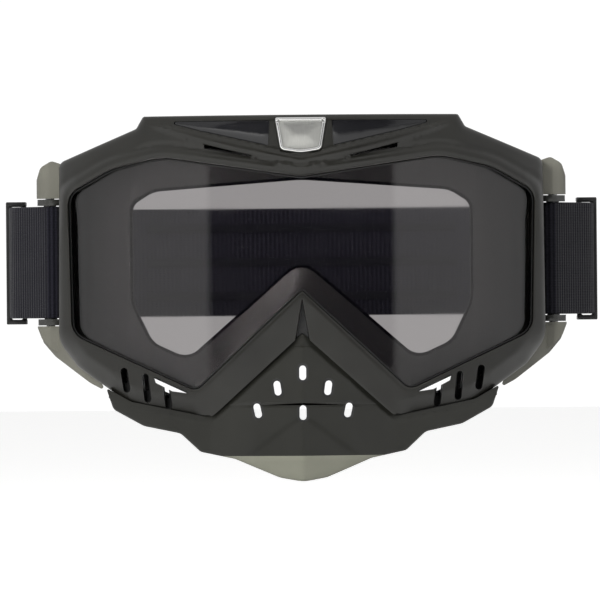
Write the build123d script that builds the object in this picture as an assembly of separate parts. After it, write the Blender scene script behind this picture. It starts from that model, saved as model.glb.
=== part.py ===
from build123d import *
from math import cos, radians, sin, sqrt, tan
import os

# Motorcycle goggles with a removable nose guard, in millimetres.
# X is left to right as seen from in front, the face looks along -Y, and Z is up.
# The origin is the middle of the face line: on the plane of symmetry, at the height of the strap,
# where the soft lining meets the bridge of the wearer's brow.

# Wrap of the shell, lens and face line: each is part of an upright drum.
FOAM_THICKNESS = 12.0
FLEECE_THICKNESS = 2.0
LENS_FRONT = -38.0
LENS_RADIUS = 100.0
LENS_CENTRE = LENS_FRONT + LENS_RADIUS
SHELL_RADIUS = 102.2
SHELL_DEPTH = 12.0
FACE_RADIUS = 111.4
FACE_CENTRE = FACE_RADIUS - FOAM_THICKNESS - FLEECE_THICKNESS

# Lens and its groove.
LENS_THICKNESS = 1.2
SEAL_THICKNESS = 1.0
LENS_OVERLAP = 1.8
GROOVE_PLAY = 0.05

# Rear chassis and foam.
CHASSIS_INSET = 2.5
CHASSIS_WALL = 3.0
FLANGE_THICKNESS = 1.8
LIP_THICKNESS = 3.0
FLANGE_SETBACK = 1.0

# Strap bars, which turn between the ears of the chassis.
PIVOT_X = 85.5
PIVOT_Y = 19.0
BAR_ANGLE = 60.0
EAR_FACE = 21.7
EAR_PIN_TOP = 26.0
EAR_ROOT = 77.5
LUG_RADIUS = 4.5
PIN_RADIUS = 1.5
PIN_PLAY = 0.06
PIN_TIP_ROOM = 0.3
PLATE_BOTTOM = 19.3
PLATE_THICKNESS = 2.1
PLATE_LENGTH = 10.8
PLATE_WIDTH = 6.4
BAR_LENGTH = 6.4
BAR_WIDTH = 2.4

# Strap.
STRAP_WIDTH = 38.0
STRAP_THICKNESS = 1.6
STRAP_HALF_SPAN = 100.1
STRAP_LOOP_END = 44.0
STRAP_BEND_START = 112.0
STRAP_SIDE_RADIUS = 70.8
STRAP_BACK_ANGLE = 30.0
LOOP_BEND_RADIUS = 20.0
LOOP_GAP = 0.2
BAR_PLAY = 1.3
FOLD_SETBACK = 2.0
GRIP_HEIGHTS = (-12, 0, 12)
GRIP_WIDTH = 3.0
GRIP_THICKNESS = 0.5
GRIP_LENGTH = 110.0
GRIP_Y = 215.0

# Adjusters, one on each straight stretch of strap.
ADJUSTER_Y = 80.0
ADJUSTER_LENGTH = 16.0
ADJUSTER_RAIL = 1.6
ADJUSTER_BAR = 1.5
ADJUSTER_BAR_WIDTH = 3.2
ADJUSTER_PLAY = 0.25

# Nose guard.
GUARD_SKIN = 2.2
GUARD_GAP = 0.35
GUARD_TOP = -28.9
TONGUE_HEIGHT = 1.4
TONGUE_FRONT = 1.0
TONGUE_BACK = 5.0
CREASE_HEIGHT = -65.6
GUARD_LEAN = 0.38
CHIN_RETURN = 1.0
CHIN_DROP = 11.0
SHELF_THICKNESS = 1.8
SHELF_X = 49.0
SHELF_LENGTH = 34.0
STUD_RADIUS = 1.5
STUD_SETBACK = 8.2

REACH = 300.0

# Outlines seen from in front, right half, from the top centre clockwise to the bottom centre.
# Each corner is ((x, z), rounding radius).
SHELL_EDGE = [
    ((53, 48.7), 1),
    ((55.4, 44.6), 1.5),
    ((82, 33.6), 3),
    ((82.5, -27), 10),
    ((76, -35.5), 6),
    ((58, -48.2), 8),
    ((31, -53.6), 4),
    ((0, -25.6), 0),
]
LENS_OPENING = [
    ((0, 28), 3),
    ((47, 35), 25),
    ((64, 31.2), 25),
    ((79, 22.9), 6),
    ((78, -24.5), 7),
    ((35.8, -44), 4),
    ((0, -10.4), 0.6),
]
FOAM_EDGE = [
    ((50, 45.4), 8),
    ((79.2, 31), 10),
    ((79.2, -21), 14),
    ((60, -33.5), 10),
    ((34, -41.5), 6),
    ((0, -13), 6),
]
FOAM_OPENING = [
    ((0, 27.2), 40),
    ((50, 23.6), 10),
    ((57, 19.2), 4),
    ((57, -14), 12),
    ((50.5, -27.5), 8),
    ((38.5, -33), 7),
    ((0, 1), 8),
]
BROW_CAVITY = [
    ((50, 46.2), 2),
    ((50, 40.6), 2),
    ((42, 39.4), 4),
    ((0, 33), 4),
]
GUARD_EDGE = [
    ((3, GUARD_TOP), 0.8),
    ((30.2, -53.5), 3),
    ((33, -53.75), 3),
    ((58, -48.7), 6),
    ((66.4, -43.7), 0.6),
    ((63.9, -49.9), 3),
    ((53.6, -55.5), 6),
    ((41.2, -58), 4),
    ((34.5, -64.2), 3),
    ((22.9, -66.6), 8),
    ((7.9, -73), 12),
    ((0, -74.4), 12),
]
BADGE_EDGE = [
    ((8.8, 47.8), 0.8),
    ((7, 36.8), 2),
    ((0, 35.7), 12),
]

# Vent slots under the lens, each from its top to its bottom end, and the long gap above them.
VENT_SLOTS = [((60.2, -37), (59.3, -43)), ((53, -39), (52.2, -46.4)), ((46, -42), (45.1, -48.6))]
VENT_WIDTH = 2.4
VENT_DEPTH = 6.0
VENT_HOLE_WIDTH = 1.4
VENT_HOLE_SHARE = 0.55
RIM_GAP = [
    ((50.2, -38.8), 0.3),
    ((49.6, -41), 0.5),
    ((44, -43.9), 1),
    ((38.8, -44.6), 0.2),
    ((38.8, -43.9), 0.2),
]
CHASSIS_LIP = [
    ((78, -23), 0),
    ((89, -25), 0),
    ((88, -27.4), 2),
    ((84, -32), 6),
    ((72, -41), 10),
    ((67, -43.6), 0.6),
    ((70, -36), 0),
]
CHASSIS_WINDOW = [
    ((53, -37.5), 1),
    ((51.5, -41.8), 1),
    ((44, -45.2), 1),
    ((37, -45.4), 0.5),
    ((36.5, -43.2), 0.5),
]

# The hinge ears from in front.
UPPER_EAR = [
    ((EAR_ROOT, EAR_FACE), 0),
    ((EAR_ROOT, 32), 1),
    ((84.8, 34.5), 2),
    ((88.6, 32.3), 3),
    ((90, 28), 3),
    ((90, EAR_FACE), 0),
]
LOWER_EAR = [
    ((EAR_ROOT, -EAR_FACE), 0),
    ((90.2, -EAR_FACE), 0),
    ((88.5, -26), 2),
    ((85, -29.6), 3),
    ((EAR_ROOT, -34.5), 1),
]

# Openings of the brow: a wedge under each side of the V rib, and a row of slots through the top.
BROW_WEDGE = [(32.5, 39), (32.5, 37.6), (17, 34.6), (17, 35.3)]
WEDGE_DEPTH = 4.0
TOP_VENT_PLACES = (14, 26, 38)
TOP_VENT_LENGTH = 8.0
TOP_VENT_WIDTH = 3.0
TOP_VENT_SETBACK = 8.0
TOP_VENT_HEIGHT = 47.5
CAVITY_FRONT = 3.5
VENT_FOAM_FRONT = 6.0

# Gloss panels in the brow, and the badge between them.
PANEL_CORNERS = [((10.4, 46.9), 0.4), ((46.5, 46.9), 0.6), ((34, 43.5), 4), ((10.9, 38.3), 0.4)]
PANEL_FRONT = 0.5
PANEL_BACK = 1.7
BADGE_RIM = 1.3
BADGE_RIM_FRONT = -0.8
BADGE_PLATE_FRONT = -0.3
BADGE_BACK = 1.2
BADGE_PLAY = 0.02

# Breathing holes of the nose guard, as centre and tilt.
GUARD_HOLES = [((0, -37.9), 0), ((8.5, -43), 8), ((15.2, -50.5), 12), ((0, -51.2), 0)]
HOLE_LENGTH = 4.9
HOLE_WIDTH = 2.3

# The guard's skin seen from above at its top edge, from its ridge out to its wing tip.
GUARD_PLAN = [(0, -38.7), (16, -32.1), (31, -23.5), (45, -18.8), (58, -12.2), (69, -6.4)]
GUARD_PLAN_HEIGHT = -26.0

# Push studs of the guard, as x, the height of the head's underside and the height of the tip.
STUD_PLACES = [(36, -55.8, -47.6), (61.5, -48.8, -39.4)]
STUD_HEAD_RADIUS = 2.5
STUD_HEAD_THICKNESS = 0.9
STUD_TIP_ROOM = 0.4


def rounded_face(corners):
    """A face from ((x, y), radius) corners."""
    points = [point for point, radius in corners]
    radii = [radius for point, radius in corners]
    return make_face(FilletPolyline(*points, radius=radii, close=True))


def mirrored_face(half):
    """A symmetrical face from the corners of its right half."""
    left = [((-x, z), radius) for (x, z), radius in reversed(half) if x > 0]
    return rounded_face(half + left)


def forward_prism(face, start=-60, end=120):
    """A flat front-view face pushed along Y from start to end."""
    return extrude(Plane.XZ.offset(-start) * face, amount=end - start, dir=(0, 1, 0))


def upright_prism(face, bottom, top):
    """A plan-view face pushed up Z from bottom to top."""
    return extrude(Plane.XY.offset(bottom) * face, amount=top - bottom)


def drum(radius, centre_y):
    return Pos(0, centre_y, 0) * Cylinder(radius, REACH)


def shell_layer(front, back):
    """The space between two depths behind the shell's front face."""
    return drum(SHELL_RADIUS, LENS_CENTRE + front) - drum(SHELL_RADIUS, LENS_CENTRE + back)


def lens_layer(front, back):
    """The space between two radial depths behind the lens's front face."""
    front_half = Pos(0, LENS_CENTRE - REACH / 2, 0) * Box(REACH, REACH, REACH)
    ring = drum(LENS_RADIUS - front, LENS_CENTRE) - drum(LENS_RADIUS - back, LENS_CENTRE)
    return ring & front_half


def face_layer(front, back):
    """The space between two depths behind the chassis's rear face."""
    return drum(FACE_RADIUS, FACE_CENTRE + front) - drum(FACE_RADIUS, FACE_CENTRE + back)


def shell_front(x):
    """How far back the shell's front face is at x."""
    return LENS_CENTRE - sqrt(SHELL_RADIUS**2 - x**2)


def both_sides(right):
    """The right-hand shape and its mirror image, as one."""
    return right + mirror(right, about=Plane.YZ)


def lens_face():
    return offset(mirrored_face(LENS_OPENING), amount=LENS_OVERLAP)


def chassis_face():
    return offset(mirrored_face(SHELL_EDGE), amount=-CHASSIS_INSET)


def foam_face():
    return mirrored_face(FOAM_EDGE) - mirrored_face(FOAM_OPENING)


def slot_face(top, bottom, width):
    """A round-ended slot between two points."""
    middle = (Vector(*top) + Vector(*bottom)) / 2
    run = Vector(*bottom) - Vector(*top)
    angle = Vector(1, 0).get_signed_angle(run)
    return Pos(middle.X, middle.Y) * Rot(0, 0, angle) * SlotOverall(run.length + width, width)


def make_front_shell():
    shell = forward_prism(mirrored_face(SHELL_EDGE)) & shell_layer(0, SHELL_DEPTH)
    shell -= forward_prism(mirrored_face(LENS_OPENING))
    groove = lens_layer(-GROOVE_PLAY, LENS_THICKNESS + SEAL_THICKNESS + GROOVE_PLAY)
    shell -= forward_prism(offset(lens_face(), amount=GROOVE_PLAY)) & groove
    shell -= forward_prism(mirrored_face(BROW_CAVITY)) & shell_layer(CAVITY_FRONT, SHELL_DEPTH + 1)
    shell -= make_brow_panel(1, front=0) + make_brow_panel(-1, front=0)
    badge = offset(mirrored_face(BADGE_EDGE), amount=BADGE_PLAY)
    shell -= forward_prism(badge) & shell_layer(-5, BADGE_BACK)
    wedge = make_face(Polyline(*BROW_WEDGE, close=True))
    cuts = forward_prism(wedge) & shell_layer(-2, WEDGE_DEPTH)
    for top, bottom in VENT_SLOTS:
        cuts += forward_prism(slot_face(top, bottom, VENT_WIDTH)) & shell_layer(-2, VENT_DEPTH)
        hole_end = [a + (b - a) * VENT_HOLE_SHARE for a, b in zip(top, bottom)]
        cuts += forward_prism(slot_face(top, hole_end, VENT_HOLE_WIDTH))
    cuts += forward_prism(rounded_face(RIM_GAP)) & shell_layer(-2, SHELL_DEPTH + 2)
    tongue = offset(Pos(0, TONGUE_HEIGHT) * mirrored_face(GUARD_EDGE), amount=GUARD_GAP)
    shell -= forward_prism(tongue) & shell_layer(TONGUE_FRONT, TONGUE_BACK)
    for x, bottom, top in STUD_PLACES:
        socket = upright_prism(Circle(STUD_RADIUS + PIN_PLAY), bottom, top + STUD_TIP_ROOM)
        cuts += Pos(x, shell_front(x) + STUD_SETBACK, 0) * socket
    for x in TOP_VENT_PLACES:
        vent = Box(TOP_VENT_LENGTH, TOP_VENT_WIDTH, 2 * TOP_VENT_WIDTH)
        cuts += Pos(x, shell_front(x) + TOP_VENT_SETBACK, TOP_VENT_HEIGHT) * vent
    return shell - both_sides(cuts)


def make_brow_panel(side, front=PANEL_FRONT):
    face = rounded_face([((side * x, z), radius) for (x, z), radius in PANEL_CORNERS])
    return forward_prism(face) & shell_layer(front, PANEL_BACK)


def make_badge_bezel():
    outer = mirrored_face(BADGE_EDGE)
    ring = outer - offset(outer, amount=-BADGE_RIM)
    return forward_prism(ring) & shell_layer(BADGE_RIM_FRONT, BADGE_BACK)


def make_badge_plate():
    plate = offset(mirrored_face(BADGE_EDGE), amount=-BADGE_RIM)
    return forward_prism(plate) & shell_layer(BADGE_PLATE_FRONT, BADGE_BACK)


def make_lens():
    return forward_prism(lens_face()) & lens_layer(0, LENS_THICKNESS)


def make_lens_seal():
    ring = lens_face() - mirrored_face(LENS_OPENING)
    return forward_prism(ring) & lens_layer(LENS_THICKNESS, LENS_THICKNESS + SEAL_THICKNESS)


def make_vent_foam():
    pad = offset(mirrored_face(BROW_CAVITY), amount=-0.1)
    return forward_prism(pad) & shell_layer(VENT_FOAM_FRONT, SHELL_DEPTH)


def ear_plan():
    """The ear from above: a lug round the pivot, joined to the chassis wall."""
    front = PIVOT_Y - LUG_RADIUS
    root = [(79.4, front + 4), (EAR_ROOT, front + 2)]
    web = Polyline((EAR_ROOT, front), (PIVOT_X, front), (PIVOT_X, PIVOT_Y + 4), *root, close=True)
    return make_face(web) + Pos(PIVOT_X, PIVOT_Y) * Circle(LUG_RADIUS)


def make_ears():
    """The right-hand pair of ears, with blind holes for the hinge pins."""
    ears = forward_prism(rounded_face(UPPER_EAR)) + forward_prism(rounded_face(LOWER_EAR))
    return ears & upright_prism(ear_plan(), -40, 40)


def make_rear_chassis():
    outer = chassis_face()
    wall = outer - offset(outer, amount=-CHASSIS_WALL)
    behind_shell = drum(SHELL_RADIUS, LENS_CENTRE + SHELL_DEPTH) - drum(FACE_RADIUS, FACE_CENTRE)
    chassis = forward_prism(wall) & behind_shell
    seat = outer - offset(mirrored_face(FOAM_OPENING), amount=FLANGE_SETBACK)
    chassis += forward_prism(seat) & face_layer(-FLANGE_THICKNESS, 0)
    lip = forward_prism(rounded_face(CHASSIS_LIP)) & shell_layer(SHELL_DEPTH, SHELL_DEPTH + LIP_THICKNESS)
    chassis += both_sides(make_ears() + lip)
    pin_holes = Pos(PIVOT_X, PIVOT_Y, 0) * Cylinder(PIN_RADIUS + PIN_PLAY, 2 * (EAR_PIN_TOP + PIN_TIP_ROOM))
    window = forward_prism(rounded_face(CHASSIS_WINDOW))
    return chassis - both_sides(window + pin_holes)


def foam_ring(front, back):
    return forward_prism(foam_face()) & face_layer(front, back)


def make_strap_bar():
    """A flat bar with an end plate at the top and bottom, square to the right-hand strap."""
    bar = upright_prism(SlotOverall(BAR_LENGTH, BAR_WIDTH), -PLATE_BOTTOM, PLATE_BOTTOM)
    plate = SlotOverall(PLATE_LENGTH, PLATE_WIDTH) - Circle(PIN_RADIUS)
    for bottom in (PLATE_BOTTOM, -PLATE_BOTTOM - PLATE_THICKNESS):
        bar += upright_prism(plate, bottom, bottom + PLATE_THICKNESS)
    return Pos(PIVOT_X, PIVOT_Y, 0) * Rot(0, 0, BAR_ANGLE) * bar


def make_bar_pins():
    pins = []
    for bottom in (PLATE_BOTTOM, -EAR_PIN_TOP):
        pin = upright_prism(Circle(PIN_RADIUS), bottom, bottom + EAR_PIN_TOP - PLATE_BOTTOM)
        pins.append(Pos(PIVOT_X, PIVOT_Y, 0) * pin)
    return Compound(children=pins)


def strap_region(inset):
    """The plan inside the strap's route, behind the loops, set in from its outer face."""
    half = STRAP_HALF_SPAN - inset
    side = STRAP_SIDE_RADIUS - inset
    turn = 90 - STRAP_BACK_ANGLE
    start = Vector(half - side, STRAP_BEND_START)
    corner = start + Vector(side * cos(radians(turn)), side * sin(radians(turn)))
    back = corner.X / cos(radians(turn))
    centre_y = corner.Y - back * sin(radians(turn))
    route = [
        Line((-half, STRAP_LOOP_END), (half, STRAP_LOOP_END)),
        Line((half, STRAP_LOOP_END), (half, STRAP_BEND_START)),
        CenterArc((half - side, STRAP_BEND_START), side, 0, turn),
        CenterArc((0, centre_y), back, turn, 2 * STRAP_BACK_ANGLE),
        CenterArc((side - half, STRAP_BEND_START), side, 180 - turn, turn),
        Line((-half, STRAP_BEND_START), (-half, STRAP_LOOP_END)),
    ]
    return make_face(Curve() + route)


def make_strap_band():
    band = strap_region(0) - strap_region(STRAP_THICKNESS)
    return upright_prism(band, -STRAP_WIDTH / 2, STRAP_WIDTH / 2)


def make_grip_strips():
    """Three lines of silicone on the inside of the strap, at the back of the head."""
    line = strap_region(STRAP_THICKNESS) - strap_region(STRAP_THICKNESS + GRIP_THICKNESS)
    line &= Pos(0, GRIP_Y) * Rectangle(GRIP_LENGTH, GRIP_LENGTH)
    half = GRIP_WIDTH / 2
    return Compound(children=[upright_prism(line, z - half, z + half) for z in GRIP_HEIGHTS])


def strap_loop_face():
    """The right-hand loop: from the band round the strap bar and back to the adjuster's bar."""
    along = Vector(cos(radians(BAR_ANGLE)), sin(radians(BAR_ANGLE)))
    across = Vector(along.Y, -along.X)
    centre = Vector(PIVOT_X, PIVOT_Y) - along * FOLD_SETBACK
    reach = STRAP_THICKNESS + BAR_PLAY
    inner_x = STRAP_HALF_SPAN - 2 * STRAP_THICKNESS - LOOP_GAP
    outer_near = centre + across * reach
    outer_far = outer_near + along * ((STRAP_HALF_SPAN - outer_near.X) / along.X)
    inner_near = centre - across * reach
    inner_far = inner_near + along * ((inner_x - inner_near.X) / along.X)
    fold = centre - along * reach
    bend = LOOP_BEND_RADIUS * tan(radians((90 - BAR_ANGLE) / 2))
    outer_start = outer_far - along * bend
    inner_start = inner_far - along * bend
    route = [
        Line((STRAP_HALF_SPAN, STRAP_LOOP_END), (STRAP_HALF_SPAN, outer_far.Y + bend)),
        TangentArc((STRAP_HALF_SPAN, outer_far.Y + bend), outer_start, tangent=(0, -1)),
        Line(outer_start, outer_near),
        ThreePointArc(outer_near, fold, inner_near),
        Line(inner_near, inner_start),
        TangentArc(inner_start, (inner_x, inner_far.Y + bend), tangent=along),
        Line((inner_x, inner_far.Y + bend), (inner_x, ADJUSTER_Y + 4)),
    ]
    strip = offset(Curve() + route, amount=STRAP_THICKNESS, side=Side.LEFT)
    return make_face(strip)


def make_strap_loop():
    return upright_prism(strap_loop_face(), -STRAP_WIDTH / 2, STRAP_WIDTH / 2)


def make_adjuster():
    """The right-hand three-bar slider, with two bars outside the strap and one inside it."""
    inner_x = STRAP_HALF_SPAN - 2 * STRAP_THICKNESS - LOOP_GAP - ADJUSTER_BAR - ADJUSTER_PLAY
    outer_x = STRAP_HALF_SPAN + ADJUSTER_BAR + ADJUSTER_PLAY
    middle_x = (inner_x + outer_x) / 2
    half_opening = STRAP_WIDTH / 2 + 2 * ADJUSTER_PLAY
    adjuster = Part()
    for z in (half_opening + ADJUSTER_RAIL / 2, -half_opening - ADJUSTER_RAIL / 2):
        adjuster += Pos(middle_x, ADJUSTER_Y, z) * Box(outer_x - inner_x, ADJUSTER_LENGTH, ADJUSTER_RAIL)
    bar = Box(ADJUSTER_BAR, ADJUSTER_BAR_WIDTH, 2 * half_opening + 1)
    bar_y = (ADJUSTER_LENGTH - ADJUSTER_BAR_WIDTH) / 2
    for y in (ADJUSTER_Y - bar_y, ADJUSTER_Y + bar_y):
        adjuster += Pos(outer_x - ADJUSTER_BAR / 2, y, 0) * bar
    adjuster += Pos(inner_x + ADJUSTER_BAR / 2, ADJUSTER_Y, 0) * bar
    return adjuster


def guard_skin(points, bottom, top, lean):
    """A folded sheet, pushed down from its plan at the height top, moving back by lean times the drop."""
    front = [(-x, y) for x, y in reversed(points) if x > 0] + points
    back = [(x, y + GUARD_SKIN) for x, y in reversed(front)]
    plan = Plane.XY.offset(top) * make_face(Polyline(*front, *back, close=True))
    return extrude(plan, amount=(top - bottom) * sqrt(1 + lean**2), dir=(0, lean, -1))


def make_nose_guard():
    outline = mirrored_face(GUARD_EDGE)
    top = GUARD_PLAN_HEIGHT
    skin = guard_skin(GUARD_PLAN, CREASE_HEIGHT, top, -GUARD_LEAN)
    crease = [(x, y - GUARD_LEAN * (top - CREASE_HEIGHT)) for x, y in GUARD_PLAN]
    skin += guard_skin(crease, CREASE_HEIGHT - CHIN_DROP, CREASE_HEIGHT, CHIN_RETURN)
    guard = skin & forward_prism(outline + Pos(0, TONGUE_HEIGHT) * outline)
    shelf = outline - Pos(0, -SHELF_THICKNESS) * outline
    shelf &= both_sides(Pos(SHELF_X, -50) * Rectangle(SHELF_LENGTH, SHELF_LENGTH))
    guard += forward_prism(shelf) & shell_layer(TONGUE_FRONT + 1, SHELL_DEPTH - 0.5)
    for (x, z), tilt in GUARD_HOLES:
        for side in sorted({1, -1 if x else 1}):
            hole = Pos(side * x, z) * Rot(0, 0, 90 - side * tilt) * SlotOverall(HOLE_LENGTH, HOLE_WIDTH)
            guard -= forward_prism(hole)
    return guard - make_studs()


def make_studs():
    studs = []
    for x, bottom, top in STUD_PLACES:
        stud = upright_prism(Circle(STUD_RADIUS), bottom, top)
        stud += upright_prism(Circle(STUD_HEAD_RADIUS), bottom, bottom + STUD_HEAD_THICKNESS)
        stud = Pos(x, shell_front(x) + STUD_SETBACK, 0) * stud
        studs += [stud, mirror(stud, about=Plane.YZ)]
    return Compound(children=studs)


def placed(right, side):
    """A right-hand part where it is, or mirrored to the left side."""
    return right if side > 0 else mirror(right, about=Plane.YZ)


def save(name, shape):
    export_step(shape, f"parts/{name}.step")


def main():
    os.makedirs("parts", exist_ok=True)
    save("front_shell", make_front_shell())
    save("rear_chassis", make_rear_chassis())
    save("lens", make_lens())
    save("lens_seal", make_lens_seal())
    save("badge_bezel", make_badge_bezel())
    save("badge_plate", make_badge_plate())
    save("vent_foam_top", make_vent_foam())
    save("foam_base", foam_ring(0, FOAM_THICKNESS))
    save("face_fleece", foam_ring(FOAM_THICKNESS, FOAM_THICKNESS + FLEECE_THICKNESS))
    save("strap_band", make_strap_band())
    save("grip_strips", make_grip_strips())
    save("nose_guard", make_nose_guard())
    save("guard_push_studs", make_studs())
    for side, name in ((1, "right"), (-1, "left")):
        save(f"brow_panel_{name}", make_brow_panel(side))
        save(f"strap_bar_{name}", placed(make_strap_bar(), side))
        save(f"bar_pins_{name}", placed(make_bar_pins(), side))
        save(f"strap_loop_{name}", placed(make_strap_loop(), side))
        save(f"adjuster_{name}", placed(make_adjuster(), side))


main()
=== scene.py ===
from math import acos, atan2, ceil, cos, pi, radians, sin, sqrt, tan

import bmesh
import bpy
import numpy as np
from mathutils import Matrix, Vector
from mathutils.geometry import delaunay_2d_cdt


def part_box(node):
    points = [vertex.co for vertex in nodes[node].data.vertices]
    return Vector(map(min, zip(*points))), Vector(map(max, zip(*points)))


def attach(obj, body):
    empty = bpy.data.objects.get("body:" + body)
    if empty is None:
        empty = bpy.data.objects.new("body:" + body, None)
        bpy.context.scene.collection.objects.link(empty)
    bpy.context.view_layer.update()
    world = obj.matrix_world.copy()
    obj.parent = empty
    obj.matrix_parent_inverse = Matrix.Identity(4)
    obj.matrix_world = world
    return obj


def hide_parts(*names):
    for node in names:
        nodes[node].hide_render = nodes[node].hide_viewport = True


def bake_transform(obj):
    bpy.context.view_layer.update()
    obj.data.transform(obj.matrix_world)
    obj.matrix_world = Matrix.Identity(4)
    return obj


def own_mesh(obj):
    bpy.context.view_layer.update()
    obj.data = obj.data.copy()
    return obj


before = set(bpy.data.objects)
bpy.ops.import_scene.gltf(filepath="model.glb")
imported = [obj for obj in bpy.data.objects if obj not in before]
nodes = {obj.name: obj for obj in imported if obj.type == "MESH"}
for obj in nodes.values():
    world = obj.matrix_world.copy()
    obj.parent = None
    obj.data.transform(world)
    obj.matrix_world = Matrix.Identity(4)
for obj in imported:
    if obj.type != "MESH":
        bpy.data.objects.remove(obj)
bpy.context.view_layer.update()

# Motorcycle goggles. Lengths here are in millimetres in the row frame, and meshes are made in metres.
# X is left to right from in front, +Y goes back towards the head, and Z is up.
MM = 0.001

# The curved surfaces of the frame, each part of an upright drum.
LENS_CENTRE = 62.0
LENS_RADIUS = 100.0
SHELL_RADIUS = 102.2
SHELL_DEPTH = 12.0
FACE_RADIUS = 111.4
FACE_CENTRE = 97.4

# Outlines from in front, right half, as ((x, z), rounding radius), from the top to the bottom centre.
SHELL_EDGE = [
    ((53, 48.7), 1), ((55.4, 44.6), 1.5), ((82, 33.6), 3), ((82.5, -27), 10),
    ((76, -35.5), 6), ((58, -48.2), 8), ((31, -53.6), 4), ((0, -25.6), 0),
]
LENS_OPENING = [
    ((0, 28), 3), ((47, 35), 25), ((64, 31.2), 25), ((79, 22.9), 6),
    ((78, -24.5), 7), ((35.8, -44), 4), ((0, -10.4), 0.6),
]
FOAM_EDGE = [
    ((50, 45.4), 8), ((79.2, 31), 10), ((79.2, -21), 14),
    ((60, -33.5), 10), ((34, -41.5), 6), ((0, -13), 6),
]
FOAM_OPENING = [
    ((0, 27.2), 40), ((50, 23.6), 10), ((57, 19.2), 4), ((57, -14), 12),
    ((50.5, -27.5), 8), ((38.5, -33), 7), ((0, 1), 8),
]
GUARD_EDGE = [
    ((0, -24.9), 0.3), ((2.2, -26.4), 0.5), ((30.2, -52.1), 3), ((33, -52.35), 3), ((58, -47.3), 6),
    ((66.4, -42.6), 0.4), ((63.9, -49.9), 3), ((53.6, -55.5), 6), ((41.2, -58), 4),
    ((34.5, -64.2), 3), ((22.9, -66.6), 8), ((7.9, -73), 12), ((0, -74.4), 12),
]
BADGE_EDGE = [((8.8, 47.8), 0.8), ((7, 36.8), 2), ((0, 35.7), 12)]
PANEL_EDGE = [((10.4, 46.9), 0.4), ((46.5, 46.9), 0.6), ((34, 43.5), 4), ((10.9, 38.3), 0.4)]
VENT_SLOTS = [((60.2, -37), (59.3, -43)), ((53, -39), (52.2, -46.4)), ((46, -42), (45.1, -48.6))]
VENT_WIDTH = 2.4
VENT_DEPTH = 6.0
VENT_HOLE_WIDTH = 1.4
VENT_HOLE_SHARE = 0.55
RIM_GAP = [
    ((50.2, -38.8), 0.3), ((49.6, -41), 0.5), ((44, -43.9), 1), ((38.8, -44.6), 0.2), ((38.8, -43.9), 0.2),
]
BROW_WEDGE = [((32.5, 39), 0.2), ((32.5, 37.6), 0.2), ((17, 34.6), 0.1), ((17, 35.3), 0.1)]
NOSE_NOTCH = [((0, -12.6), 0.1), ((2.6, -27.6), 0), ((-2.6, -27.6), 0)]

# Nose guard.
GUARD_PLAN = [(0, -38.7), (16, -32.1), (31, -23.5), (45, -18.8), (58, -12.2), (69, -6.4)]
GUARD_PLAN_HEIGHT = -26.0
GUARD_LEAN = 0.38
GUARD_SKIN = 2.2
GUARD_TOP = [(0, -28.9), (3, -28.9), (30.2, -53.5), (33, -53.75), (58, -48.7), (66.4, -43.7)]
CREASE_HEIGHT = -65.6
FACET_TOP = -51.2
FACET_SLOPE = 1.35
SHELF_THICKNESS = 1.8
GUARD_HOLES = [((0, -37.9), 0), ((8.5, -43), 8), ((15.2, -50.5), 12), ((0, -51.2), 0)]
TONGUE_TOP = [point for point, _ in GUARD_EDGE[:6]]
HOLE_LENGTH = 4.9
HOLE_WIDTH = 2.3

# Strap.
PIVOT = np.array([85.5, 19.0])
BAR_ANGLE = radians(60)
STRAP_WIDTH = 38.0
STRAP_THICKNESS = 1.6
STRAP_HALF_SPAN = 100.1
STRAP_INNER_X = STRAP_HALF_SPAN - 2 * STRAP_THICKNESS - 0.2
STRAP_LOOP_END = 44.0
STRAP_BEND_START = 112.0
STRAP_SIDE_RADIUS = 70.8
STRAP_TURN = radians(60)
LOOP_BEND_RADIUS = 20.0
ADJUSTER_Y = 80.0
HEM_TOP = ADJUSTER_Y + 2.2
HEM_END = ADJUSTER_Y - 10
HEM_RADIUS = 2.8
HEM_CENTRE_IN = 1.2
HEM_OFFSET = HEM_RADIUS + HEM_CENTRE_IN
STITCH_LIFT = 0.07


# ---------------------------------------------------------------- flat outlines

def unit(v):
    return v / np.linalg.norm(v)


def mirrored(half):
    """All the corners of a symmetrical outline, from those of its right half."""
    return list(half) + [((-x, z), r) for (x, z), r in reversed(half) if x > 0]


def flipped(corners):
    return [((-x, z), r) for (x, z), r in reversed(corners)]


def rounded_loop(corners, step=0.8):
    """Closely spaced points round a closed outline with rounded corners."""
    points = []
    for i, (corner, radius) in enumerate(corners):
        before = np.array(corners[i - 1][0], float)
        here = np.array(corner, float)
        after = np.array(corners[(i + 1) % len(corners)][0], float)
        u, v = unit(before - here), unit(after - here)
        if radius < 0.01:
            points.append(here)
            continue
        half = acos(np.clip(u @ v, -1, 1)) / 2
        centre = here + unit(u + v) * radius / sin(half)
        start = here + u * radius / tan(half) - centre
        end = here + v * radius / tan(half) - centre
        sweep = atan2(start[0] * end[1] - start[1] * end[0], start @ end)
        count = max(2, ceil(abs(sweep) * radius / (0.6 * step)))
        for k in range(count + 1):
            a = sweep * k / count
            x = start[0] * cos(a) - start[1] * sin(a)
            z = start[0] * sin(a) + start[1] * cos(a)
            points.append(centre + np.array([x, z]))
    return divided(np.array(points), step)


def divided(points, step, closed=True):
    """The same line with its long runs cut into even steps."""
    out = []
    count = len(points) if closed else len(points) - 1
    for i in range(count):
        a, b = points[i], points[(i + 1) % len(points)]
        length = np.linalg.norm(b - a)
        if length < 1e-6:
            continue
        pieces = max(1, ceil(length / step))
        out += [a + (b - a) * k / pieces for k in range(pieces)]
    if not closed:
        out.append(points[-1])
    return np.array(out)


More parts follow.
